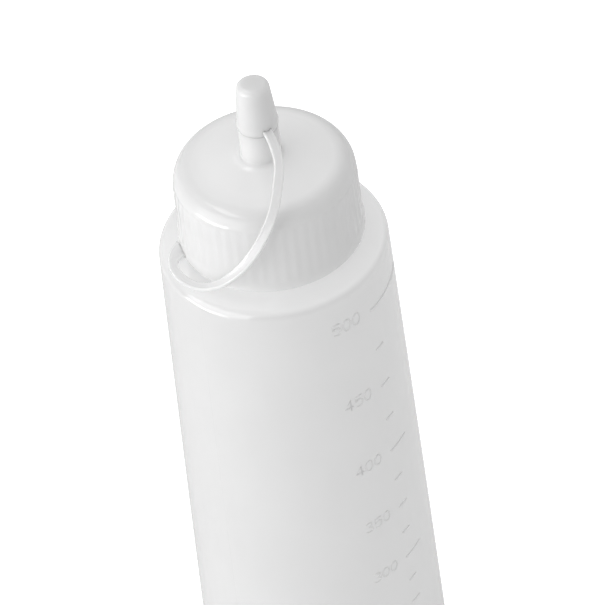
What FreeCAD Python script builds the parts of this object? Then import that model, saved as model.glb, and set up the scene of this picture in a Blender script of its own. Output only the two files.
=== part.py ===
import FreeCAD, Part
import math
import os

os.makedirs("parts", exist_ok=True)
V = FreeCAD.Vector

# Squeeze bottle with a screw cap, a nozzle and a tip cap on a strap. Millimetres.
# Origin: centre of the base. +Z up. Azimuth 0 is -Y (the front, with the marks)
# and grows towards +X. The mould seams of the bottle lie at +X and -X.

# ---- bottle -----------------------------------------------------------------
WALL = 1.1                  # blown wall
BASE_R = 34.7               # body radius just above the heel
HEEL_R = 3.8                # heel radius
BODY_TOP_R = 25.8           # body radius under the shoulder
BODY_TOP_Z = 191.0          # height where the shoulder fillet starts
BODY_SWELL = 0.2            # how far the wall swells outside a straight cone
PUSH_UP = 2.0               # hollow of the base
FOOT_W = 3.9                # flat ring it stands on
SHOULDER_FILLET = 2.6
SHOULDER_SLOPE = 19.0       # degrees from level
NECK_R = 18.2               # outside of the neck
NECK_WALL = 1.5
NECK_RISE = 16.2            # neck rim above the bottom of the screw cap
FOOT_R = BASE_R - HEEL_R - FOOT_W

# ---- graduation marks -------------------------------------------------------
CAPACITY = 500              # top mark, millilitres
MARK_STEP = 25
MARK_PROUD = 0.25
MARK_SINK = 0.66            # how deep a mark is rooted in the wall
MARK_THICK = 0.55
MARK_START = 0.0            # azimuth where every mark starts, degrees
MARK_SHORT = 2.9            # arc lengths
MARK_MEDIUM = 3.4
MARK_LONG = 6.6

# ---- screw cap: heights are above its own bottom ------------------------------
CAP_GAP = 0.13              # between the shoulder and the inner edge of the skirt
FIT = 0.3                   # clearance between the neck and the skirt
SKIRT_WALL = 2.35           # at the bottom, where the skirt is widest
SIDE_LEAN = 0.6             # the straight side comes in by this much
EDGE_IN = 5.75              # the rounded edge goes in and up by these
EDGE_UP = 9.0
EDGE_SQUARE = 3.2           # 2 makes the rounded edge an ellipse, more is squarer
CAP_WALL = 1.5
HEAD_ROOM = 2.3             # low hollow over the rim of the neck
DISC_CROWN = 1.5            # the top rises this much to its centre
BAND_H = 2.3                # plain band below the ribs
RIB_STOP = 3.4              # the ribs end this far below the disc
RIB_COUNT = 52
RIB_DEPTH = 0.2             # the ribs stand in a recess of this depth
RIB_R = 1.0                 # roundness of a rib
SKIRT_R = NECK_R + FIT + SKIRT_WALL
SIDE_R = SKIRT_R - SIDE_LEAN
DISC_R = SIDE_R - EDGE_IN
DISC_H = NECK_RISE + HEAD_ROOM + CAP_WALL
SIDE_H = DISC_H - EDGE_UP
RIB_TOP_H = DISC_H - RIB_STOP

# ---- nozzle -----------------------------------------------------------------
NOZZLE_R = 4.45             # the stem, at its foot
STEM_DRAFT = 0.13           # the stem narrows by this up to the tip cap
SEAT_GAP = 0.1              # between the stem's end and the tip cap
NOZZLE_STEP = 0.9           # the foot stands this much over the crown
NOZZLE_LENGTH = 16.5
NOZZLE_FOOT = 1.0           # fillet at the foot
BORE_R = 0.9                # outlet
NOZZLE_WALL = 0.7           # at the tip
FUNNEL_WALL = 1.2           # at the foot
NOZZLE_TIP_R = BORE_R + NOZZLE_WALL
NOZZLE_H = DISC_H + DISC_CROWN + NOZZLE_STEP
NOZZLE_TIP_H = NOZZLE_H + NOZZLE_LENGTH

# ---- tip cap and strap ------------------------------------------------------
NOZZLE_FIT = 0.15           # clearance between the nozzle and the tip cap
TIP_DEPTH = 9.5             # how far the nozzle reaches into the tip cap
TIP_END = 1.9               # solid end over the nozzle
TIP_WALL = 1.16             # at the collar
TIP_END_WALL = 1.65         # at the top, before rounding
TIP_ROUND = 1.2
COLLAR_H = 2.3
COLLAR_STEP = 0.15          # the collar stands proud of the tip cap's side by this
STRAP_W = 2.1
STRAP_T = 1.1
STRAP_ROUND = 0.35
STRAP_FOOT_W = 4.7          # the strap widens where it meets the skirt
TIP_BOTTOM_H = NOZZLE_TIP_H - TIP_DEPTH
TIP_TOP_H = NOZZLE_TIP_H + TIP_END
# Route of the strap. Azimuth; how far out, where 0 is the collar and 1 the skirt;
# how high, where 0 is the bottom of the screw cap and 1 the bottom of the tip cap;
# and how far the broad side has turned from flat (0) to standing along the dome (90).
STRAP_PATH = (
    (-22, -0.040, 1.034, 90),
    (-23, 0.126, 0.993, 90),
    (-29, 0.396, 0.918, 90),
    (-37, 0.660, 0.857, 90),
    (-44, 0.923, 0.748, 85),
    (-51, 1.083, 0.612, 75),
    (-60, 1.187, 0.429, 60),
    (-70, 1.218, 0.259, 45),
    (-82, 1.230, 0.116, 25),
    (-95, 1.236, 0.034, 8),
    (-108, 1.233, 0.020, 0),
    (-115.5, 1.187, 0.024, 0),
    (-120.5, 1.089, 0.031, 0),
    (-123.5, 0.960, 0.037, 0),
)


def shoulder_height(radius):
    """Height of the sloping part of the shoulder at this radius."""
    slope = math.radians(SHOULDER_SLOPE)
    start_r = BODY_TOP_R - SHOULDER_FILLET * (1 - math.sin(slope))
    start_z = BODY_TOP_Z + SHOULDER_FILLET * math.cos(slope)
    return start_z + (start_r - radius) * math.tan(slope)


CAP_Z = shoulder_height(NECK_R + FIT) + CAP_GAP
NECK_TOP_Z = CAP_Z + NECK_RISE


def revolve(edges):
    """Turn a closed chain of edges in the XZ plane into a solid."""
    wire = Part.Wire(edges)
    face = Part.Face(wire)
    return face.revolve(V(0, 0, 0), V(0, 0, 1), 360)


def line(a, b):
    return Part.makeLine(V(a[0], 0, a[1]), V(b[0], 0, b[1]))


def arc(a, m, b):
    return Part.Arc(V(a[0], 0, a[1]), V(m[0], 0, m[1]), V(b[0], 0, b[1])).toShape()


def spline(points):
    curve = Part.BSplineCurve()
    curve.interpolate([V(p[0], 0, p[1]) for p in points])
    return curve.toShape()


def around(radius, azimuth, z):
    a = math.radians(azimuth)
    return V(radius * math.sin(a), -radius * math.cos(a), z)


def body_radius(z, inset=0.0):
    """Outside radius of the body at height z, a shallow swell over a cone."""
    t = (z - HEEL_R) / (BODY_TOP_Z - HEEL_R)
    straight = BASE_R + (BODY_TOP_R - BASE_R) * t
    return straight + 4 * BODY_SWELL * t * (1 - t) - inset


def wall_curve(low, high, inset):
    mid = 0.5 * (low + high)
    a = (body_radius(low, inset), low)
    m = (body_radius(mid, inset), mid)
    b = (body_radius(high, inset), high)
    return a, m, b


def bottle_profile(inset):
    """Half section of the body from the axis up to the neck, moved in by inset."""
    slope = math.radians(SHOULDER_SLOPE)
    s, c = math.sin(slope), math.cos(slope)
    heel = HEEL_R - inset
    low = HEEL_R
    high = BODY_TOP_Z
    a, m, b = wall_curve(low, high, inset)
    heel_c = (a[0] - heel, HEEL_R)
    foot = (heel_c[0], HEEL_R - heel)
    k = math.sqrt(0.5)
    heel_m = (heel_c[0] + heel * k, HEEL_R - heel * k)
    push = PUSH_UP + inset
    mid_r = 0.5 * FOOT_R
    top_c = (b[0] - (SHOULDER_FILLET - inset), high)
    f = SHOULDER_FILLET - inset
    half = 0.5 * (math.pi / 2 - slope)
    f_m = (top_c[0] + f * math.cos(half), high + f * math.sin(half))
    f_e = (top_c[0] + f * s, high + f * c)
    neck = NECK_R - (NECK_WALL if inset else 0.0)
    rise = (f_e[0] - neck) * math.tan(slope)
    n_root = (neck, f_e[1] + rise)
    n_top = (neck, NECK_TOP_Z)
    inner_edge = (FOOT_R, foot[1])
    edges = [
        arc((0, push), (mid_r, foot[1] + 0.75 * (push - foot[1])), inner_edge),
        line(inner_edge, foot),
        arc(foot, heel_m, a),
        arc(a, m, b),
        arc(b, f_m, f_e),
        line(f_e, n_root),
        line(n_root, n_top),
        line(n_top, (0, NECK_TOP_Z)),
        line((0, NECK_TOP_Z), (0, push)),
    ]
    return edges


def inside_volume(z):
    """Millilitres below height z, from thin slices of the inside."""
    total = 0.0
    steps = 400
    floor = WALL
    dz = (z - floor) / steps
    heel = HEEL_R - WALL
    for i in range(steps):
        h = floor + (i + 0.5) * dz
        r = body_radius(h, WALL)
        if h < HEEL_R:
            r = body_radius(HEEL_R, WALL) - heel + math.sqrt(heel ** 2 - (HEEL_R - h) ** 2)
        hole = 0.0
        if h < PUSH_UP + WALL:
            hole = FOOT_R * math.sqrt(max(0.0, 1 - (h - floor) / PUSH_UP))
        total += math.pi * (r * r - hole * hole) * dz
    return total / 1000.0


def mark_height(volume):
    low, high = WALL + 1.0, BODY_TOP_Z
    for _ in range(40):
        mid = 0.5 * (low + high)
        if inside_volume(mid) < volume:
            low = mid
        else:
            high = mid
    return 0.5 * (low + high)


def mark(volume):
    """One raised graduation line, round-ended bar bent round the body."""
    z = mark_height(volume)
    if volume % 100 == 0:
        length = MARK_LONG
    elif volume % 50 == 0:
        length = MARK_MEDIUM
    else:
        length = MARK_SHORT
    r = body_radius(z)
    sweep = math.degrees(length / r)
    outer = Part.makeCylinder(r + MARK_PROUD, MARK_THICK, V(0, 0, z - MARK_THICK / 2), V(0, 0, 1), sweep)
    inner = Part.makeCylinder(r - MARK_SINK, MARK_THICK, V(0, 0, z - MARK_THICK / 2), V(0, 0, 1), sweep)
    bar = outer.cut(inner)
    bar.rotate(V(0, 0, 0), V(0, 0, 1), MARK_START - 90)
    return bar


def make_bottle():
    outer = revolve(bottle_profile(0.0))
    inner = revolve(bottle_profile(WALL))
    marks = []
    volume = 2 * MARK_STEP
    while volume <= min(CAPACITY, inside_volume(BODY_TOP_Z)):
        marks.append(mark(volume))
        volume += MARK_STEP
    body = outer.multiFuse(marks)
    return body.cut(inner).removeSplitter()


def side_radius(h):
    """Outside radius of the cap: a straight flare, then a rounded edge up to the disc."""
    if h <= SIDE_H:
        return SKIRT_R + (SIDE_R - SKIRT_R) * h / SIDE_H
    t = min(1.0, (h - SIDE_H) / (DISC_H - SIDE_H))
    return DISC_R + (SIDE_R - DISC_R) * (1 - t ** EDGE_SQUARE) ** (1 / EDGE_SQUARE)


def edge_points(count=9):
    """The rounded edge, from the top of the ribs to the rim of the disc."""
    power = 2.0 / EDGE_SQUARE
    rise = DISC_H - SIDE_H
    first = math.asin(((RIB_TOP_H - SIDE_H) / rise) ** (1 / power))
    points = []
    for i in range(count):
        t = first + (0.5 * math.pi - first) * i / (count - 1)
        h = SIDE_H + rise * math.sin(t) ** power
        points.append((side_radius(h), CAP_Z + h))
    return points


def recess_points():
    """The recess between the ribs, from the band up to the edge."""
    low = BAND_H + RIB_DEPTH
    high = RIB_TOP_H - RIB_DEPTH
    heights = (low, SIDE_H, 0.5 * (SIDE_H + high), high)
    return [(side_radius(h) - RIB_DEPTH, CAP_Z + h) for h in heights]


def nozzle_radius(h):
    """Outside of the cone that the tip cap fits on; it stands on a wider stem."""
    t = (h - NOZZLE_H) / (NOZZLE_TIP_H - NOZZLE_H)
    return NOZZLE_R + (NOZZLE_TIP_R - NOZZLE_R) * t


def cap_outside():
    edge = edge_points()
    disc_edge = edge[-1]
    crown = (NOZZLE_R + NOZZLE_FOOT, CAP_Z + DISC_H + DISC_CROWN)
    mid_r = 0.5 * (disc_edge[0] + crown[0])
    mid = (mid_r, CAP_Z + DISC_H + 0.72 * DISC_CROWN)
    foot = (NOZZLE_R - 0.2 * STEM_DRAFT, CAP_Z + NOZZLE_H)
    k = NOZZLE_FOOT * 0.3
    seat_h = TIP_BOTTOM_H - SEAT_GAP
    stem_top = (NOZZLE_R - STEM_DRAFT, CAP_Z + seat_h)
    seat = (nozzle_radius(seat_h), CAP_Z + seat_h)
    band_top = (side_radius(BAND_H), CAP_Z + BAND_H)
    recess = recess_points()
    edges = [
        line((0, CAP_Z), (SKIRT_R, CAP_Z)),
        line((SKIRT_R, CAP_Z), band_top),
        line(band_top, recess[0]),
        line(recess[0], recess[1]),
        line(recess[1], recess[2]),
        line(recess[2], recess[3]),
        line(recess[3], edge[0]),
        spline(edge),
        arc(disc_edge, mid, crown),
        arc(crown, (foot[0] + k, crown[1] + k), foot),
        line(foot, stem_top),
        line(stem_top, seat),
        line(seat, (NOZZLE_TIP_R, CAP_Z + NOZZLE_TIP_H)),
        line((NOZZLE_TIP_R, CAP_Z + NOZZLE_TIP_H), (0, CAP_Z + NOZZLE_TIP_H)),
        line((0, CAP_Z + NOZZLE_TIP_H), (0, CAP_Z)),
    ]
    return revolve(edges)


def cap_inside():
    """The room for the neck, a land on its rim, the low hollow above, and the outlet."""
    ceiling = DISC_H - CAP_WALL
    land = NECK_R - NECK_WALL
    room = Part.makeCylinder(NECK_R + FIT, NECK_RISE + 1.0, V(0, 0, CAP_Z - 1.0))
    hollow = Part.makeCone(land, DISC_R - 1.0, ceiling - NECK_RISE + 0.01, V(0, 0, NECK_TOP_Z - 0.01))
    funnel_h = NOZZLE_TIP_H - ceiling
    funnel = Part.makeCone(NOZZLE_R - FUNNEL_WALL, BORE_R, funnel_h, V(0, 0, CAP_Z + ceiling - 0.01))
    return room.multiFuse([hollow, funnel])


def ribs():
    """Upright rounded ribs that fill the recess of the side and lean with it."""
    low = around(side_radius(BAND_H) - RIB_R, 0, CAP_Z + BAND_H)
    high = around(side_radius(RIB_TOP_H) - RIB_R, 0, CAP_Z + RIB_TOP_H)
    one = Part.makeCylinder(RIB_R, (high - low).Length, low, high - low)
    out = []
    for i in range(RIB_COUNT):
        rib = one.copy()
        rib.rotate(V(0, 0, 0), V(0, 0, 1), 360.0 * i / RIB_COUNT)
        out.append(rib)
    return out


def make_screw_cap():
    shell = cap_outside().multiFuse(ribs())
    return shell.cut(cap_inside())


def collar_radius():
    return nozzle_radius(TIP_BOTTOM_H) + NOZZLE_FIT + TIP_WALL


def tip_body():
    z0 = CAP_Z + TIP_BOTTOM_H
    z1 = CAP_Z + TIP_TOP_H
    zc = z0 + COLLAR_H
    collar = collar_radius()
    edge = collar - 0.5
    low = collar - COLLAR_STEP
    high = NOZZLE_TIP_R + NOZZLE_FIT + TIP_END_WALL
    slope = (high - low) / (z1 - zc)
    side = (low + slope * (z1 - TIP_ROUND - zc), z1 - TIP_ROUND)
    k = TIP_ROUND * (1 - math.sqrt(0.5))
    top = (side[0] - TIP_ROUND, z1)
    edges = [
        line((0, z0), (edge, z0)),
        arc((edge, z0), (collar, z0 + 0.45 * COLLAR_H), (low, zc)),
        line((low, zc), side),
        arc(side, (side[0] - k, z1 - k), top),
        line(top, (0, z1)),
        line((0, z1), (0, z0)),
    ]
    return revolve(edges)


def tip_inside():
    """The nozzle's own cone with a little clearance, closed at its tip."""
    grow = NOZZLE_FIT
    low = TIP_BOTTOM_H - 1.0
    return Part.makeCone(
        nozzle_radius(low) + grow,
        NOZZLE_TIP_R + grow,
        NOZZLE_TIP_H - low,
        V(0, 0, CAP_Z + low),
    )


def strap_point(azimuth, out, up):
    collar = collar_radius()
    radius = collar + out * (SKIRT_R - collar)
    return around(radius, azimuth, CAP_Z + up * TIP_BOTTOM_H)


def strap_curve():
    points = [strap_point(az, out, up) for az, out, up, turn in STRAP_PATH]
    curve = Part.BSplineCurve()
    curve.interpolate(points)
    return curve


def strap_frames():
    """Centre, direction and broad side at each station of the strap."""
    curve = strap_curve()
    frames = []
    for az, out, up, turn in STRAP_PATH:
        centre = strap_point(az, out, up)
        t = V(*curve.tangent(curve.parameter(centre))[0])
        t.normalize()
        a = math.radians(az)
        outward = V(math.sin(a), -math.cos(a), 0)
        along = V(math.cos(a), math.sin(a), 0)
        w = math.radians(turn)
        wide = outward * math.cos(w) + along * math.sin(w)
        wide = wide - t * wide.dot(t)
        wide.normalize()
        frames.append((centre, t, wide))
    return frames


def section_wire(centre, t, wide, width):
    thin = t.cross(wide)
    thin.normalize()
    hw, ht, c = width / 2, STRAP_T / 2, STRAP_ROUND
    k = c * (1 - math.sqrt(0.5))
    edges = []
    corners = ((1, 1), (-1, 1), (-1, -1), (1, -1))

    def at(u, v):
        return centre + wide * u + thin * v

    for i, (su, sv) in enumerate(corners):
        p_side = at(su * hw, sv * (ht - c))
        p_flat = at(su * (hw - c), sv * ht)
        p_mid = at(su * (hw - k), sv * (ht - k))
        first, last = (p_side, p_flat) if su * sv > 0 else (p_flat, p_side)
        edges.append((first, p_mid, last))
    loop = []
    for i in range(4):
        a, m, b = edges[i]
        n = edges[(i + 1) % 4][0]
        loop.append(Part.Arc(a, m, b).toShape())
        loop.append(Part.makeLine(b, n))
    return Part.Wire(loop)


def make_strap():
    frames = strap_frames()
    last = len(frames) - 1
    wires = []
    for i, (centre, t, wide) in enumerate(frames):
        grow = max(0.0, (i - last + 2) / 2.0)
        width = STRAP_W + (STRAP_FOOT_W - STRAP_W) * grow
        wires.append(section_wire(centre, t, wide, width))
    return Part.makeLoft(wires, True, False)


def make_tip_cap():
    strap = make_strap()
    solid = tip_body().fuse(strap).cut(tip_inside())
    band = Part.makeCone(SKIRT_R, side_radius(BAND_H), BAND_H, V(0, 0, CAP_Z))
    return solid.cut(band)


bottle = make_bottle()
screw_cap = make_screw_cap()
tip_cap = make_tip_cap()

for name, shape in (("bottle", bottle), ("screw_cap", screw_cap), ("tip_cap", tip_cap)):
    shape.exportStep("parts/" + name + ".step")
    box = shape.BoundBox
    print(name, "solids", len(shape.Solids), "valid", shape.isValid(), "volume cm3", round(shape.Volume / 1000, 2),
          "z", round(box.ZMin, 2), round(box.ZMax, 2), "x", round(box.XMin, 2), round(box.XMax, 2))
print("500 mark at", round(mark_height(500), 2), "body start of shoulder", BODY_TOP_Z)
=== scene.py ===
# %% [markdown]
# A kitchen squeeze bottle for sauce or oil. The bottle is blown from soft milky
# polyethylene, the screw cap with its nozzle is moulded, and a small tip cap hangs
# on a strap so that it can't be lost. The solid frame is loaded first: it fixes all
# sizes, and each piece modelled below stands in the place of one of its nodes.

# %% The frame
import bpy
import bmesh
import math
from mathutils import Matrix, Vector


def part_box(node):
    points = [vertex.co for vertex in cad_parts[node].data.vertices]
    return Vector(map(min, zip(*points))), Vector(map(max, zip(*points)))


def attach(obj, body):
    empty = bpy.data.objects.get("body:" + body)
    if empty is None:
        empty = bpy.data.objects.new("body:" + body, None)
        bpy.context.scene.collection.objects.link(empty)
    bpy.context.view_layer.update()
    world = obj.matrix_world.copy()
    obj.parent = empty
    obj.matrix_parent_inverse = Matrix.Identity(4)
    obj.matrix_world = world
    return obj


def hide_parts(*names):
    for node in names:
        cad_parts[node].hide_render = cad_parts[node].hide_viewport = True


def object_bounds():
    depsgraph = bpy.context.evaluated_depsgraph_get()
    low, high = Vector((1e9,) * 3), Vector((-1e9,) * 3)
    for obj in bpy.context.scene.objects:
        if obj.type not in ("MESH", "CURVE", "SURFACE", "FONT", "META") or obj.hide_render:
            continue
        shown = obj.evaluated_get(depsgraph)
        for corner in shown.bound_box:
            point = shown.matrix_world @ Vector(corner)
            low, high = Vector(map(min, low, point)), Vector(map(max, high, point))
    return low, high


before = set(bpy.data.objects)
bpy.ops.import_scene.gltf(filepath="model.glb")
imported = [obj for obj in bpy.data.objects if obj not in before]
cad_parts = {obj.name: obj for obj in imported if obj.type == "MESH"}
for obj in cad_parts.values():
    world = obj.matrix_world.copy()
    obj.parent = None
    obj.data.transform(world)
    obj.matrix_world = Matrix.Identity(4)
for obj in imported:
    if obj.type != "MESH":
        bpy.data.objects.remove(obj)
cad_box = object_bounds()
scene = bpy.context.scene
MM = 0.001
cap_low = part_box("screw_cap")[0][2] / MM
total_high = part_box("tip_cap")[1][2] / MM
print("cap starts at", round(cap_low, 1), "mm, the top is at", round(total_high, 1), "mm")

# %% [markdown]
# Shader maths reads better as plain sums. This small class wraps a socket, and its
# operators add the Math nodes. Any other node comes from the one `node` method.

# %% Shader helper


class Sock:
    """A socket that can be used in a sum."""

    def __init__(self, tree, socket):
        self.tree = tree
        self.socket = socket

    def _math(self, operation, a, b=None, clamp=False):
        item = self.tree.nodes.new("ShaderNodeMath")
        item.operation = operation
        item.use_clamp = clamp
        for place, value in enumerate((a, b)):
            if isinstance(value, Sock):
                self.tree.links.new(value.socket, item.inputs[place])
            elif value is not None:
                item.inputs[place].default_value = value
        return Sock(self.tree, item.outputs[0])

    def __add__(self, other):
        return self._math("ADD", self, other)

    __radd__ = __add__

    def __mul__(self, other):
        return self._math("MULTIPLY", self, other)

    __rmul__ = __mul__

    def __sub__(self, other):
        return self._math("SUBTRACT", self, other)

    def __rsub__(self, other):
        return self._math("SUBTRACT", other, self)

    def __abs__(self):
        return self._math("ABSOLUTE", self)

    def clamp(self):
        return self._math("ADD", self, 0.0, clamp=True)

    def to(self, target):
        self.tree.links.new(self.socket, target)


class Shader:
    """The node tree of a material or of the world."""

    def __init__(self, owner, output="ShaderNodeOutputMaterial"):
        owner.use_nodes = True
        self.owner = owner
        self.tree = owner.node_tree
        self.tree.nodes.clear()
        self.out = self.tree.nodes.new(output)

    def node(self, kind, settings=None, inputs=None, output=0):
        item = self.tree.nodes.new(kind)
        for key, value in (settings or {}).items():
            if key == "stops":
                ramp = item.color_ramp.elements
                while len(ramp) < len(value):
                    ramp.new(0.5)
                for stop, (place, colour) in zip(ramp, value):
                    stop.position = place
                    stop.color = colour
            else:
                setattr(item, key, value)
        for key, value in (inputs or {}).items():
            if isinstance(value, Sock):
                value.to(item.inputs[key])
            else:
                item.inputs[key].default_value = value
        return Sock(self.tree, item.outputs[output])

    def place(self):
        return self.node("ShaderNodeTexCoord", output="Object")

    def axes(self, vector):
        item = self.node("ShaderNodeSeparateXYZ", inputs={0: vector})
        outs = item.socket.node.outputs
        return [Sock(self.tree, outs[i]) for i in range(3)]


# %% [markdown]
# Soft polyethylene is milky: light goes in, scatters and comes out a few millimetres
# away. Subsurface scattering does that near the surface. Light that crosses the hollow
# bottle and comes out elsewhere costs too many bounces to trace, so it is painted on as
# a small even glow in the emission colour, which is painted light. The painted glow is
# strongest where thin walls lie over the open inside: on the shoulder, and on the top
# of the cap. The skin is satin, not mirror smooth: blowing leaves a shallow waviness,
# handling leaves fine scuffs that run up and down, and the mould leaves a faint line
# where its halves met. The marks are so thin that they need no scattering of their own;
# instead they get a weaker even painted glow, which keeps them near the wall's brightness.

# %% Plastics
SEAM_WIDTH = 0.25 * MM
SEAM_HEIGHT = 0.22
GLOW_FADE_Z = 0.8
GLOW_FADE_R = 90.0


def grey(level):
    return (level, level, level, 1.0)


def noise(s, vector, scale, detail, roughness):
    inputs = {"Vector": vector, "Scale": scale, "Detail": detail, "Roughness": roughness}
    return s.node("ShaderNodeTexNoise", inputs=inputs)


def glow_colour(s, x, y, z, low, high, region):
    """Painted light: a glow from the low level to the high one inside a region: radius, lowest and
    highest.
    """
    radius, lowest, highest = region
    near = (radius * radius - (x * x + y * y) * (1 / MM ** 2)) * (1 / GLOW_FADE_R)
    above = (z * (1 / MM) - lowest) * (1 / GLOW_FADE_Z)
    below = highest - z * (1 / MM)
    inside = near.clamp() * above.clamp() * below.clamp()
    stops = [(0.0, grey(low)), (1.0, grey(high))]
    return s.node("ShaderNodeValToRGB", {"stops": stops}, {"Fac": inside})


def milky_plastic(name, tone, shine, depth, wave, seam=False, inner=1.0, gloss=0.8, coat=0.0,
                  glow=0.0, painted_glow_high=0.0, region=None):
    s = Shader(bpy.data.materials.new(name))
    place = s.place()
    x, y, z = s.axes(place)
    tall = s.node("ShaderNodeMapping", inputs={"Vector": place, "Scale": (900.0, 900.0, 35.0)})
    slow = noise(s, place, 45.0, 2.0, 0.5)
    fine = noise(s, place, 1400.0, 2.0, 0.6)
    scuff = noise(s, tall, 1.0, 3.0, 0.55)
    height = slow * wave + fine * (wave * 0.04) + scuff * (wave * 0.03)
    if seam:
        line = 1 - (abs(y) * (1 / SEAM_WIDTH))
        height = height + line.clamp() * SEAM_HEIGHT
    bump = {"Height": height, "Strength": 0.3, "Distance": 0.4 * MM}
    stops = [(0.3, grey(tone * 0.975)), (0.7, grey(tone))]
    principled = s.node(
        "ShaderNodeBsdfPrincipled",
        inputs={
            "Base Color": s.node("ShaderNodeValToRGB", {"stops": stops}, {"Fac": slow}),
            "Roughness": slow * 0.05 + scuff * 0.07 + (shine - 0.06),
            "Normal": s.node("ShaderNodeBump", inputs=bump),
            "IOR": 1.5,
            "Specular IOR Level": gloss,
            "Coat Weight": coat,
            "Coat Roughness": 0.03,
            "Subsurface Weight": inner,
            "Subsurface Radius": (1.0, 1.0, 1.0),
            "Subsurface Scale": depth,
            # painted light: the emission colour is a glow, raised inside the region
            "Emission Color": glow_colour(s, x, y, z, glow, painted_glow_high, region) if region else grey(glow),
            "Emission Strength": 1.0,
        },
    )
    principled.to(s.out.inputs["Surface"])
    return s.owner


# Painted light: where the glow is raised, on the shoulder and on the top of the cap.
SHOULDER_PAINTED_GLOW = (60.0, 192.3, 300.0)
CAP_TOP_PAINTED_GLOW = (18.0, cap_low + 15, cap_low + 22.5)
bottle_plastic = milky_plastic("bottle_plastic", 0.735, 0.10, 0.0008, 0.3, seam=True, coat=0.6,
                               glow=0.16, painted_glow_high=0.275, region=SHOULDER_PAINTED_GLOW)
# Painted light: the marks glow evenly, to stay near the brightness of the wall.
mark_plastic = milky_plastic("mark_plastic", 0.755, 0.15, 0.001, 0.1, inner=0.0, glow=0.094)
cap_plastic = milky_plastic("cap_plastic", 0.84, 0.11, 0.0015, 0.08, gloss=0.5,
                            painted_glow_high=0.115, region=CAP_TOP_PAINTED_GLOW)
print("plastics", [m.name for m in (bottle_plastic, mark_plastic, cap_plastic)])

# %% [markdown]
# Almost everything here was turned or blown in a round mould, so one helper makes
# most pieces: a half section as a chain of points, spun round the axis. The sharp
# rings are then rounded with a bevel, as the mould maker would do with a cutter.

# %% Turning helper
NEAR = 0.02


def finish_piece(name, bm, material, slot, *nodes):
    bmesh.ops.remove_doubles(bm, verts=bm.verts, dist=0.00001)
    bmesh.ops.recalc_face_normals(bm, faces=bm.faces)
    mesh = bpy.data.meshes.new(name)
    bm.to_mesh(mesh)
    bm.free()
    for polygon in mesh.polygons:
        polygon.use_smooth = True
    mesh.materials.append(material)
    piece = bpy.data.objects.new(name, mesh)
    scene.collection.objects.link(piece)
    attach(piece, "root")
    if nodes:
        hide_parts(*nodes)
    print(name, "faces", len(mesh.polygons))
    return piece


def turned(profile, steps, closed=False):
    """Spin a chain of (radius, height) points, in millimetres, round the axis."""
    bm = bmesh.new()
    chain = [bm.verts.new((r * MM, 0, z * MM)) for r, z in profile]
    links = [bm.edges.new(pair) for pair in zip(chain, chain[1:])]
    if closed:
        links.append(bm.edges.new((chain[-1], chain[0])))
    bmesh.ops.spin(bm, geom=chain + links, cent=(0, 0, 0), axis=(0, 0, 1),
                   angle=2 * math.pi, steps=steps, use_merge=True)
    bmesh.ops.remove_doubles(bm, verts=bm.verts, dist=0.00001)
    return bm


def ring_edges(bm, r, z):
    """Edges of the ring at this radius and height."""

    def near(v):
        off_r = math.hypot(v.co.x, v.co.y) / MM - r
        off_z = v.co.z / MM - z
        return abs(off_r) < NEAR and abs(off_z) < NEAR

    return [edge for edge in bm.edges if all(near(v) for v in edge.verts)]


def round_ring(bm, r, z, radius, segments):
    bmesh.ops.bevel(bm, geom=ring_edges(bm, r, z), offset=radius * MM, offset_type="OFFSET",
                    segments=segments, profile=0.5, affect="EDGES", material=-1)


# %% [markdown]
# The bottle: a shallow hollow in the base so that it stands on a ring, a long side
# that narrows upwards with a very slight swell, a tight rounded shoulder and a plain
# neck, which the cap hides. The wall is real: the section goes up the outside and
# comes down the inside.

# %% The bottle
WALL = 1.1
BASE_R = round(cad_box[1][0] / MM, 2)
TOP_R, HEEL, SHOULDER_Z, SWELL = 25.8, 3.8, 191.0, 0.2
SHOULDER_SLOPE, SHOULDER_ROUND = 19, 1.75
NECK_R, NECK_WALL, NECK_TOP = 18.2, 1.5, cap_low + 16.2
HOLLOW_R, HOLLOW_DEPTH = 27, 2.0


def side_radius(z):
    t = (z - HEEL) / (SHOULDER_Z - HEEL)
    return BASE_R + (TOP_R - BASE_R) * t + 4 * SWELL * t * (1 - t)


def shoulder_corner(inset):
    """Where the side and the sloping shoulder would meet if nothing were rounded."""
    return TOP_R - 0.08 - inset, SHOULDER_Z + 1.8 - inset * 0.85


slope = math.tan(math.radians(SHOULDER_SLOPE))
hollow = [(0, HOLLOW_DEPTH), (9, 1.78), (18, 1.1), (HOLLOW_R, 0.0)]
outside = hollow + [(BASE_R, 0.0)]
side = [(side_radius(z), z) for z in (6, 15, 30, 50, 70, 90, 110, 130, 150, 170, 185)]
edge_r, edge_z = shoulder_corner(0)
neck_foot = (NECK_R, edge_z + (edge_r - NECK_R) * slope)
outside += side + [(edge_r, edge_z), neck_foot, (NECK_R, NECK_TOP)]
inner_r, inner_z = shoulder_corner(WALL)
bore_r = NECK_R - NECK_WALL
inside = [(bore_r, NECK_TOP), (bore_r, inner_z + (inner_r - bore_r) * slope), (inner_r, inner_z)]
inside += [(r - WALL, z) for r, z in reversed(side)]
inside += [(BASE_R - WALL, WALL)] + [(r, z + WALL) for r, z in reversed(hollow)]
bm = turned(outside + inside, 160)
round_ring(bm, BASE_R, 0.0, HEEL, 6)
round_ring(bm, BASE_R - WALL, WALL, HEEL - WALL, 5)
round_ring(bm, edge_r, edge_z, SHOULDER_ROUND, 8)
round_ring(bm, inner_r, inner_z, 1.0, 4)
round_ring(bm, *neck_foot, 1.0, 3)
round_ring(bm, NECK_R, NECK_TOP, 0.4, 2)
bottle = finish_piece("bottle_shell", bm, bottle_plastic, "bottle", "bottle")

# %% [markdown]
# The volume marks stand a quarter of a millimetre proud of the wall. Lines start on
# the front meridian and run to the right; their length tells hundreds from fifties
# and quarters. Numbers stand to the left. Where each one stands is worked out from the
# room inside the bottle, so the marks draw closer together where the body is wide.

# %% Where the marks stand
CAPACITY, MARK_STEP = 500, 25


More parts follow.
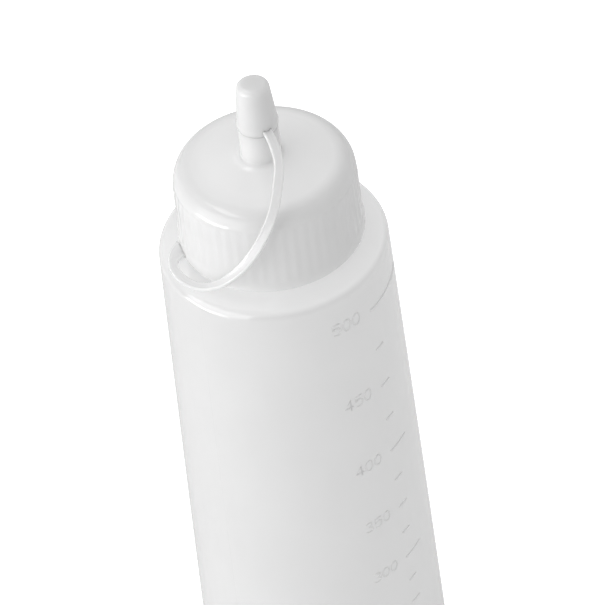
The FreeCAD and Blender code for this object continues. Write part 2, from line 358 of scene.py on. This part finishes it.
def inside_volume(z):
    floor = WALL
    steps = 300
    dz = (z - floor) / steps
    total = 0.0
    for i in range(steps):
        h = floor + (i + 0.5) * dz
        r = side_radius(h) - WALL
        if h < HEEL:
            r = side_radius(HEEL) - HEEL + math.sqrt((HEEL - WALL) ** 2 - (HEEL - h) ** 2)
        hole = HOLLOW_R * math.sqrt(max(0.0, 1 - (h - floor) / HOLLOW_DEPTH))
        total += math.pi * (r * r - hole * hole) * dz
    return total / 1000


def mark_height(volume):
    low, high = 2.0, SHOULDER_Z
    for _ in range(30):
        mid = 0.5 * (low + high)
        low, high = (mid, high) if inside_volume(mid) < volume else (low, mid)
    return low


print(CAPACITY, "mark at", round(mark_height(CAPACITY), 1), "mm")

# %% [markdown]
# A line is a small block with rounded edges, sunk into the wall for more than half its
# depth. Marks are made flat and then bent round the body, since that is how an engraver
# lays out a mould. The block is first cut across many times, so that it can bend.

# %% Line marks
PROUD = 0.25
LINE_WIDE, LINE_DEEP, LINE_ROUND = 0.4, 0.8, 0.15
LONGEST, LONG, MEDIUM, SHORT = 16.0, 6.6, 3.3, 2.9


def bend_round(bm, height):
    """Wrap flat work round the body: x runs round it, y up it, z out of it."""
    for v in bm.verts:
        z = height + v.co.y / MM
        r = side_radius(z) + v.co.z / MM
        a = v.co.x / MM / side_radius(height)
        v.co = Vector((r * math.sin(a), -r * math.cos(a), z)) * MM


def line_length(volume):
    if volume == CAPACITY:
        return LONGEST
    if volume % 100 == 0:
        return LONG
    return MEDIUM if volume % 50 == 0 else SHORT


def line_mark(volume):
    length = line_length(volume)
    bm = bmesh.new()
    bmesh.ops.create_cube(bm, size=1.0)
    bmesh.ops.scale(bm, vec=(length * MM, LINE_WIDE * MM, LINE_DEEP * MM), verts=bm.verts)
    bmesh.ops.translate(bm, vec=(length * MM / 2, 0, (PROUD - LINE_DEEP / 2) * MM), verts=bm.verts)
    bmesh.ops.bevel(bm, geom=bm.edges[:], offset=LINE_ROUND * MM, segments=2, profile=0.5,
                    affect="EDGES", material=-1)
    long_edges = [e for e in bm.edges if abs(e.verts[0].co.x - e.verts[1].co.x) > 0.5 * length * MM]
    bmesh.ops.subdivide_edges(bm, edges=long_edges, cuts=max(2, int(length)), use_grid_fill=True)
    bend_round(bm, mark_height(volume))
    return bm


# %% [markdown]
# Numbers are half sunk round wire, which is how a cutter with a round nose leaves them
# in a mould. A curve with a round bevel makes wire at once, and its mesh can be bent
# like the lines. Each digit is a few strokes in a box 2 mm wide and 3.2 mm tall: either
# the corners of a bent line, or an arc as centre, radii, first angle and last angle.

# %% Numbers
STROKE, PITCH, ARC_PARTS = 0.16, 2.7, 16
NUMBER_SHIFT = (-7.1, 1.0, 0.01)
DIGITS = {
    "0": [("arc", (0, 0), (1.0, 1.6), 90, 450)],
    "1": [("line", (-0.6, 0.9), (0.2, 1.6), (0.2, -1.6))],
    "2": [("arc", (0, 0.7), (0.95, 0.9), 165, -30), ("line", (0.82, 0.25), (-1.0, -1.6), (1.0, -1.6))],
    "3": [("arc", (0, 0.8), (0.85, 0.8), 150, -90), ("arc", (0, -0.8), (1.0, 0.8), 90, -150)],
    "4": [("line", (0.5, -1.6), (0.5, 1.6), (-1.05, -0.6), (1.05, -0.6))],
    "5": [("line", (0.85, 1.6), (-0.75, 1.6), (-0.85, 0.2)), ("arc", (0, -0.55), (1.0, 1.05), 145, -140)],
}


def stroke_points(stroke):
    if stroke[0] == "line":
        return stroke[1:]
    centre, radii, first, last = stroke[1:]
    step = (last - first) / ARC_PARTS
    angles = [math.radians(first + step * i) for i in range(ARC_PARTS + 1)]
    return [(centre[0] + radii[0] * math.cos(a), centre[1] + radii[1] * math.sin(a)) for a in angles]


def from_curve(data):
    """The mesh of a curve, which then goes."""
    holder = bpy.data.objects.new(data.name, data)
    scene.collection.objects.link(holder)
    bpy.context.view_layer.update()
    shown = holder.evaluated_get(bpy.context.evaluated_depsgraph_get())
    mesh = bpy.data.meshes.new_from_object(shown)
    bpy.data.objects.remove(holder)
    bpy.data.curves.remove(data)
    return mesh


def number_mark(volume):
    data = bpy.data.curves.new("number", "CURVE")
    data.dimensions = "3D"
    data.bevel_depth = STROKE * MM
    data.bevel_resolution = 1
    data.use_fill_caps = True
    text = str(volume)
    for place, digit in enumerate(text):
        shift = (place - (len(text) - 1) / 2) * PITCH
        for stroke in DIGITS[digit]:
            points = stroke_points(stroke)
            spline = data.splines.new("POLY")
            spline.points.add(len(points) - 1)
            for point, (px, py) in zip(spline.points, points):
                point.co = ((px + shift) * MM, py * MM, 0, 1)
    mesh = from_curve(data)
    bm = bmesh.new()
    bm.from_mesh(mesh)
    bpy.data.meshes.remove(mesh)
    bmesh.ops.translate(bm, vec=Vector(NUMBER_SHIFT) * MM, verts=bm.verts)
    bend_round(bm, mark_height(volume))
    return bm


# %% [markdown]
# One mould presses all the marks at once, so all of them together are one piece. There
# is a line for every 25 ml, and every other line has its number.

# %% All the marks
marks = bmesh.new()
for volume in range(50, CAPACITY + 1, MARK_STEP):
    made = [line_mark(volume)]
    if volume % 50 == 0:
        made.append(number_mark(volume))
    for one in made:
        mesh = bpy.data.meshes.new("mark")
        one.to_mesh(mesh)
        one.free()
        marks.from_mesh(mesh)
        bpy.data.meshes.remove(mesh)
volume_marks = finish_piece("volume_marks", marks, mark_plastic, "bottle")

# %% [markdown]
# The screw cap. Its side flares slightly and carries shallow upright ribs for grip,
# between a plain band at the bottom and a fine line where the rounded edge begins.
# The top is nearly flat and rises a little to the hollow nozzle in its middle. It is
# all one moulding, so it is one turned shell; the ribs are waves pressed into the
# rows of the side, and the number of steps is a multiple of the number of ribs.

# %% The screw cap
SKIRT_R, SIDE_R, SIDE_H = 20.85, 20.25, 11.0
DISC_R, DISC_H, SQUARE = 14.5, 20.0, 3.2
RIBS, RIB_DEPTH, RIB_SINK = 52, 0.10, 0.05
RIB_LOW, RIB_HIGH = 2.3, 16.6
FOOT, MOUTH = (5.3, 21.8), (1.6, 38.9)
BORE_R = 18.5


def cap_side(h):
    """Outside radius: a straight flare, then a squarish rounded edge up to the disc."""
    if h <= SIDE_H:
        return SKIRT_R + (SIDE_R - SKIRT_R) * h / SIDE_H
    t = min(1.0, (h - SIDE_H) / (DISC_H - SIDE_H))
    return DISC_R + (SIDE_R - DISC_R) * (1 - t ** SQUARE) ** (1 / SQUARE)


def rounded_edge(rows):
    """Heights that are close together where the edge is round."""
    first = math.asin(((RIB_HIGH - SIDE_H) / (DISC_H - SIDE_H)) ** (SQUARE / 2))
    heights = []
    for i in range(rows + 1):
        t = first + (math.pi / 2 - first) * i / rows
        heights.append(SIDE_H + (DISC_H - SIDE_H) * math.sin(t) ** (2 / SQUARE))
    return heights


straight = [RIB_LOW, 2.8, 4.0, 6.0, 8.0, 10.0, 11.0, 12.0, 13.0, 14.0, 15.0, 15.7, 16.3]
cap_profile = [(cap_side(h), h) for h in straight + rounded_edge(18)]
disc = [(12.0, 20.45), (9.0, 20.95), (6.6, 21.3), (5.9, 21.45), FOOT, (4.75, 21.85)]
nozzle = [(4.45, 22.1), (4.44, 22.4), (4.4, 25.0), (4.33, 29.0), (4.32, 29.3), (4.2, 29.37),
          (3.24, 29.38), (3.15, 29.8), MOUTH]
bore = [(0.9, MOUTH[1]), (3.0, 19.6), (3.2, 18.4), (13.5, 18.4), (16.6, 16.2), (BORE_R, 16.2), (BORE_R, 0)]
outline = [(SKIRT_R, 0)] + cap_profile + disc + nozzle + bore
bm = turned([(r, cap_low + h) for r, h in outline], RIBS * 6, closed=True)
for v in bm.verts:
    r = math.hypot(v.co.x, v.co.y)
    h = v.co.z / MM - cap_low
    if r / MM > BORE_R + 0.5 and RIB_LOW + 0.1 < h < RIB_HIGH - 0.1:
        wave = 0.5 - 0.5 * math.cos(RIBS * math.atan2(v.co.y, v.co.x))
        press = (RIB_SINK + RIB_DEPTH * wave) * MM / r
        v.co.x -= v.co.x * press
        v.co.y -= v.co.y * press
round_ring(bm, SKIRT_R, cap_low, 0.35, 3)
round_ring(bm, FOOT[0], cap_low + FOOT[1], 0.2, 2)
round_ring(bm, MOUTH[0], cap_low + MOUTH[1], 0.25, 2)
cap = finish_piece("cap_with_nozzle", bm, cap_plastic, "cap", "screw_cap")

# %% [markdown]
# The tip cap is a little thimble with a swollen collar that a thumb can push up. It is
# turned like the rest, with its hollow fitted round the nozzle.

# %% The tip cap
TIP_LOW, TIP_TOP_R = cap_low + 29.4, 3.4
TIP_TALL = round(total_high - TIP_LOW, 2)
tip_outside = [(0, TIP_TALL), (TIP_TOP_R, TIP_TALL), (4.35, 2.3), (4.56, 1.5), (4.5, 0.7),
               (4.42, 0.2), (4.34, 0)]
tip_inside = [(3.25, 0), (1.75, 9.5), (0, 9.5)]
bm = turned([(r, TIP_LOW + h) for r, h in tip_outside + tip_inside], 96)
round_ring(bm, TIP_TOP_R, TIP_LOW + TIP_TALL, 1.2, 6)
thimble = finish_piece("tip_thimble", bm, cap_plastic, "cap", "tip_cap")

# %% [markdown]
# The strap is a flat ribbon, moulded with the tip cap. It leaves the collar, arches
# over the edge of the dome, turns flat beside the skirt, widens and runs into it. A
# curve gives the line: each station is an azimuth, a radius, a height and how far the
# broad side is turned. A rounded section, slightly dished on both broad sides, is
# extruded along it step by step, because that keeps its twist under control.

# %% The strap
STRAP_WIDE, STRAP_THICK, STRAP_ROUND = 2.1, 1.1, 0.32
DISH_HALF, DISH_DEPTH = 0.55, 0.14
ROOT_WIDENING = 1.24
STRAP = (
    (-22, 3.9, 30.75, 90), (-23, 6.6, 29.4, 90), (-29, 11.0, 27.0, 90), (-37, 15.3, 25.2, 90),
    (-44, 19.6, 22.0, 85), (-51, 22.2, 18.0, 75), (-60, 23.9, 12.6, 60), (-70, 24.4, 7.6, 45),
    (-82, 24.6, 3.4, 25), (-95, 24.7, 1.0, 8), (-108, 24.65, 0.6, 0), (-115.5, 23.9, 0.7, 0),
    (-120.5, 22.3, 0.9, 0), (-123.5, 20.2, 1.1, 0),
)
FINE = 6


def strap_line():
    data = bpy.data.curves.new("strap_line", "CURVE")
    data.dimensions = "3D"
    data.resolution_u = FINE
    spline = data.splines.new("BEZIER")
    spline.bezier_points.add(len(STRAP) - 1)
    for point, (azimuth, r, h, turn) in zip(spline.bezier_points, STRAP):
        a = math.radians(azimuth)
        point.co = Vector((r * math.sin(a), -r * math.cos(a), cap_low + h)) * MM
        point.handle_left_type = point.handle_right_type = "AUTO"
    mesh = from_curve(data)
    points = [v.co.copy() for v in mesh.vertices]
    bpy.data.meshes.remove(mesh)
    return points


def strap_matrix(points, i):
    ahead = points[min(i + 1, len(points) - 1)] - points[max(i - 1, 0)]
    t = ahead.normalized()
    p = points[i]
    station = min(i / FINE, len(STRAP) - 1.001)
    k = int(station)
    turn = STRAP[k][3] + (STRAP[k + 1][3] - STRAP[k][3]) * (station - k)
    out = Vector((p.x, p.y, 0)).normalized()
    along = Vector((-out.y, out.x, 0))
    w = math.radians(turn)
    wide = out * math.cos(w) + along * math.sin(w)
    wide = (wide - t * wide.dot(t)).normalized()
    thin = t.cross(wide)
    return Matrix((wide, thin, t)).transposed().to_4x4(), p


points = strap_line()
bm = bmesh.new()
bmesh.ops.create_grid(bm, x_segments=1, y_segments=1, size=0.5)
bmesh.ops.scale(bm, vec=(STRAP_WIDE * MM, STRAP_THICK * MM, 1), verts=bm.verts)
bmesh.ops.bevel(bm, geom=bm.verts[:], offset=STRAP_ROUND * MM, segments=4, profile=0.5,
                affect="VERTICES", material=-1)
flat = [e for e in bm.edges if abs(e.verts[0].co.x - e.verts[1].co.x) > 0.5 * STRAP_WIDE * MM]
bmesh.ops.subdivide_edges(bm, edges=flat, cuts=5)
for v in bm.verts:
    if abs(v.co.x) < DISH_HALF * MM:
        v.co.y -= math.copysign(DISH_DEPTH * MM, v.co.y)
turn, spot = strap_matrix(points, 0)
now = Matrix.Translation(spot) @ turn
bmesh.ops.transform(bm, matrix=now, verts=bm.verts)
end = bm.faces[:]
for i in range(1, len(points)):
    grown = bmesh.ops.extrude_face_region(bm, geom=end)
    if i > 1:
        bmesh.ops.delete(bm, geom=end, context="FACES_ONLY")
    verts = [g for g in grown["geom"] if isinstance(g, bmesh.types.BMVert)]
    end = [g for g in grown["geom"] if isinstance(g, bmesh.types.BMFace)]
    turn, spot = strap_matrix(points, i)
    left = len(points) - 1 - i
    widen = 1 + ROOT_WIDENING * max(0.0, 1 - left / (2 * FINE))
    after = Matrix.Translation(spot) @ turn @ Matrix.Diagonal((widen, 1, 1, 1))
    bmesh.ops.transform(bm, matrix=after @ now.inverted(), verts=verts)
    now = after
strap = finish_piece("tip_strap", bm, cap_plastic, "cap")

# %% [markdown]
# The set is what a product shot of a white bottle needs, and it starts with a plain
# sheet for a floor. A matt surface takes the soft shadow, and a glow that only the
# camera sees makes the sheet white without throwing more light on the bottle.

# %% The floor
FLOOR_HALF, FLOOR_TONE, FLOOR_GLOW = 6.0, 0.8, 0.7
s = Shader(bpy.data.materials.new("floor_white"))
seen = s.node("ShaderNodeLightPath", output="Is Camera Ray")
matt = s.node("ShaderNodeBsdfDiffuse", inputs={"Color": grey(FLOOR_TONE)})
glow = s.node("ShaderNodeEmission", inputs={"Strength": seen * FLOOR_GLOW})
both = s.node("ShaderNodeAddShader", inputs={0: matt, 1: glow})
both.to(s.out.inputs["Surface"])
bm = bmesh.new()
bmesh.ops.create_grid(bm, x_segments=1, y_segments=1, size=FLOOR_HALF)
mesh = bpy.data.meshes.new("floor")
bm.to_mesh(mesh)
bm.free()
mesh.materials.append(s.owner)
floor = bpy.data.objects.new("floor", mesh)
scene.collection.objects.link(floor)
print("floor", 2 * FLOOR_HALF, "m wide")

# %% [markdown]
# The world is a white shell with three strengths: one lights the bottle, one is what
# satin plastic mirrors, and one is what the camera sees. A bright mirrored world would
# lie over the plastic like a veil and flatten its form, so that one is the lowest.

# %% The world
WORLD_LIGHT, WORLD_MIRRORED, WORLD_SEEN = 0.67, 0.25, 1.0
s = Shader(bpy.data.worlds.new("studio"), "ShaderNodeOutputWorld")
shells = []
for strength in (WORLD_LIGHT, WORLD_MIRRORED, WORLD_SEEN):
    shells.append(s.node("ShaderNodeBackground", inputs={"Color": grey(1.0), "Strength": strength}))
lighting, mirrored, white = shells
glossy = s.node("ShaderNodeLightPath", output="Is Glossy Ray")
seen = s.node("ShaderNodeLightPath", output="Is Camera Ray")
unseen = s.node("ShaderNodeMixShader", inputs={0: glossy, 1: lighting, 2: mirrored})
whole = s.node("ShaderNodeMixShader", inputs={0: seen, 1: unseen, 2: white})
whole.to(s.out.inputs["Surface"])
scene.world = s.owner
print("world", WORLD_LIGHT, WORLD_MIRRORED, WORLD_SEEN)

# %% [markdown]
# One low window on the left gives the caps their bright side, and a weak panel from
# behind lifts the top. Satin plastic shows its lights as small bright images, so these
# have lights of their own: a broad window, a brighter strip along its sill, and a high
# panel that only the caps see. The thick caps also have more contrast between their
# sides than the thin bottle, so a little more of the window is kept for them. Keeping
# these apart means that each can be set alone, as a photographer does with screens and
# flags.

# %% The lights
VIEW = -46.0
CAP_MIDDLE = 0.19


def soft_light(name, azimuth, elevation, distance, wide, tall, watts, does):
    """A rectangular light that looks at the middle of the cap. It either shades, or is
    only seen as its mirror image."""
    data = bpy.data.lights.new(name, "AREA")
    data.shape = "RECTANGLE"
    data.size = wide
    data.size_y = tall
    data.energy = watts
    a, e = math.radians(VIEW + azimuth), math.radians(elevation)
    direction = Vector((math.sin(a) * math.cos(e), -math.cos(a) * math.cos(e), math.sin(e)))
    lamp = bpy.data.objects.new(name, data)
    lamp.location = Vector((0, 0, CAP_MIDDLE)) + direction * distance
    lamp.rotation_euler = direction.to_track_quat("Z", "Y").to_euler()
    lamp.visible_diffuse = does != "mirror"
    lamp.visible_glossy = does != "shade"
    scene.collection.objects.link(lamp)
    return lamp


caps = bpy.data.collections.new("caps")
for piece in (cap, thimble, strap):
    caps.objects.link(piece)

# name, azimuth from the camera's side, elevation, distance, width, height, watts, use
LIGHTS = (
    ("window", -70, 12, 0.8, 0.92, 0.58, 2.5, "shade"),
    ("behind", 180, 68, 1.0, 0.8, 0.8, 0.8, "shade"),
    ("window_image", -60, 17, 0.79, 0.9, 0.57, 2.7, "mirror"),
    ("sill_image", -69.5, -7.5, 0.79, 0.59, 0.12, 1.6, "mirror"),
)
CAP_LIGHTS = (
    ("cap_window", -72, 11, 0.8, 0.92, 0.58, 0.9, "shade"),
    ("high_image", -100, 65, 1.0, 0.75, 0.2, 1.25, "mirror"),
)
for light_values in LIGHTS:
    soft_light(*light_values)
for light_values in CAP_LIGHTS:
    soft_light(*light_values).light_linking.receiver_collection = caps
print("lights", [row[0] for row in LIGHTS + CAP_LIGHTS])

# %% [markdown]
# The camera looks down at the cap from well above, with a long lens, and is rolled a
# little so that the bottle leans to the left.

# %% Camera
LENS, ROLL = 120.1, -7.26
camera_data = bpy.data.cameras.new("camera")
camera_data.lens = LENS
camera_data.sensor_width = 36.0
camera_data.clip_start = 0.01
camera_data.shift_x = -0.0004
camera_data.shift_y = 0.0008
camera = bpy.data.objects.new("camera", camera_data)
eye = Vector((-0.2361, -0.2280, 0.5001))
aim = Vector((0.0032, -0.0034, 0.1702))
look = (aim - eye).to_track_quat("-Z", "Y").to_matrix().to_4x4()
roll = Matrix.Rotation(math.radians(ROLL), 4, "Z")
camera.matrix_world = Matrix.Translation(eye) @ look @ roll
scene.collection.objects.link(camera)
scene.camera = camera
scene.view_settings.view_transform = "Standard"
print("camera", round((aim - eye).length, 2), "m away, with a lens of", LENS, "mm")
